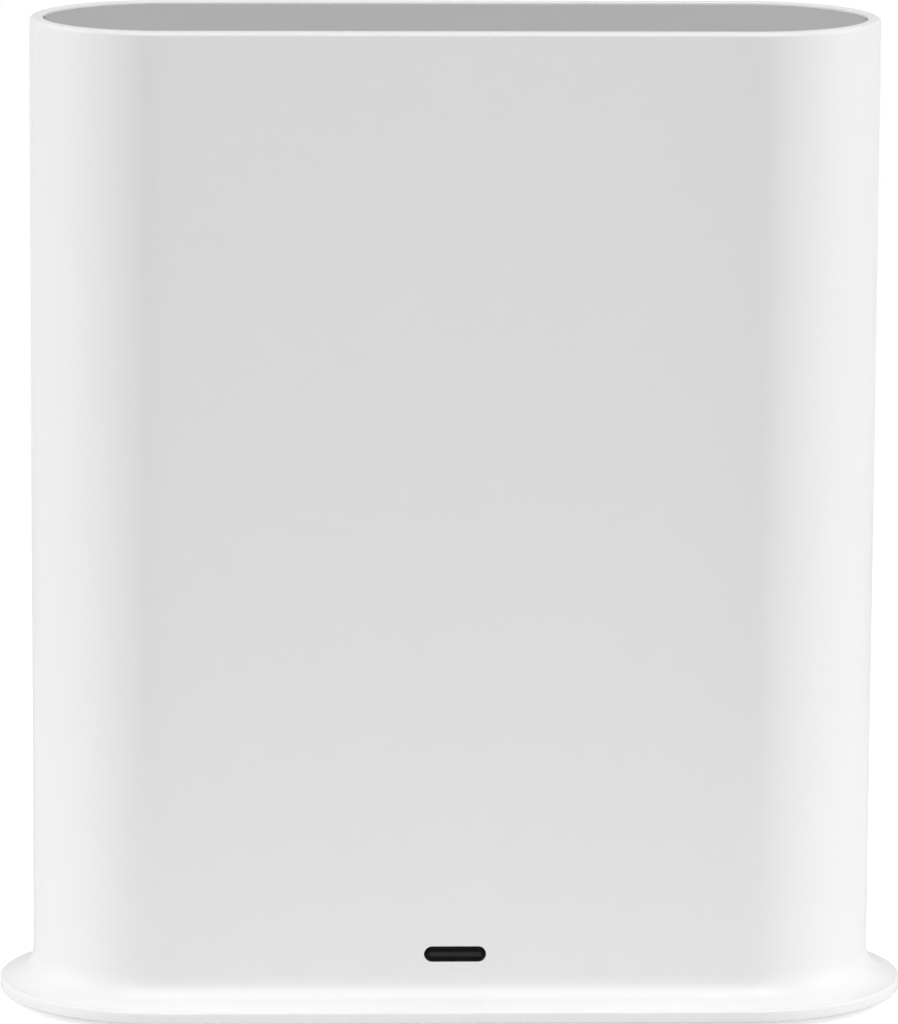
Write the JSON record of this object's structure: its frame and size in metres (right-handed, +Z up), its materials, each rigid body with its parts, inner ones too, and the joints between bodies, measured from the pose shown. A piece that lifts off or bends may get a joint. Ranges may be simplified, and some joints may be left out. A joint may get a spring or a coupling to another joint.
{
  "type": "security camera base station",
  "caption": "Upright white base station with rounded ends, flared foot, grey top plate and front status window; sockets, sync button and reset pinhole at the back.",
  "frame": {"origin": "on the table, below the middle of the body", "axes": "+Z up, -Y towards the front with the status window, +X to the right as seen from the front"},
  "size_m": [0.1188, 0.0428, 0.1296],
  "materials": {
    "white_shell": "moulded, semi-gloss",
    "grey_plate": "moulded, fine matte texture",
    "white_cover": "moulded, fine spark texture",
    "pad_rubber": "matte",
    "window_black": "polished",
    "clear_acrylic": "polished",
    "led_resin": "moulded",
    "grey_panel": "moulded, fine matte texture",
    "white_button": "moulded, satin",
    "switch_plastic": "moulded",
    "switch_post": "moulded",
    "socket_plastic": "moulded",
    "tinned_steel": "tinned, satin",
    "gold_contact": "gold flashed",
    "link_lens": "moulded, translucent",
    "tongue_plastic": "moulded",
    "nickel_contact": "nickel plated",
    "board_laminate": "solder resist",
    "frame_plastic": "moulded",
    "chip_resin": "moulded",
    "thermal_silicone": "matte",
    "sink_aluminium": "extruded",
    "spacer_brass": "turned",
    "screw_steel": "zinc plated",
    "can_aluminium": "satin",
    "choke_ferrite": "sintered",
    "lead_jacket": "satin"
  },
  "bodies": {
    "base_station": {"outer_sleeve": "white_shell", "top_plate": "grey_plate", "base_cover": "white_cover", "rubber_feet": "pad_rubber", "status_window": "window_black", "light_pipe": "clear_acrylic", "status_led": "led_resin", "port_panel": "grey_panel", "sync_switch_body": "switch_plastic", "reset_switch_body": "switch_plastic", "network_housing": "socket_plastic", "network_shield": "tinned_steel", "network_contacts": "gold_contact", "network_lights": "link_lens", "usb_shell": "tinned_steel", "usb_insert": "tongue_plastic", "usb_contacts": "gold_contact", "power_housing": "socket_plastic", "power_pin": "nickel_contact", "power_spring": "nickel_contact", "main_board": "board_laminate", "board_frame": "frame_plastic", "processor": "chip_resin", "thermal_pad": "thermal_silicone", "heat_sink": "sink_aluminium", "heat_sink_standoffs": "spacer_brass", "heat_sink_screws": "screw_steel", "memory_chips": "chip_resin", "radio_shields": "tinned_steel", "radio_chips": "chip_resin", "network_transformer": "chip_resin", "bulk_capacitors": "can_aluminium", "power_inductors": "choke_ferrite", "antenna_left": "board_laminate", "antenna_right": "board_laminate", "antenna_lead_left": "lead_jacket", "antenna_lead_right": "lead_jacket", "antenna_sockets": "gold_contact", "antenna_plugs": "nickel_contact", "base_screws": "screw_steel", "board_screws": "screw_steel"},
    "sync_button": {"sync_button": "white_button", "sync_switch_plunger": "switch_plastic"},
    "reset_plunger": {"reset_plunger": "switch_post"}
  },
  "joints": [
    {"name": "sync_press", "type": "slide", "parent": "base_station", "child": "sync_button", "axis": [0, -1, 0], "range_m": [0, 0.0006], "stiffness_N_per_m": 2600, "springref_m": -0.0001},
    {"name": "reset_press", "type": "slide", "parent": "base_station", "child": "reset_plunger", "axis": [0, -1, 0], "range_m": [0, 0.0003], "stiffness_N_per_m": 4000, "springref_m": -0.0001}
  ]
}
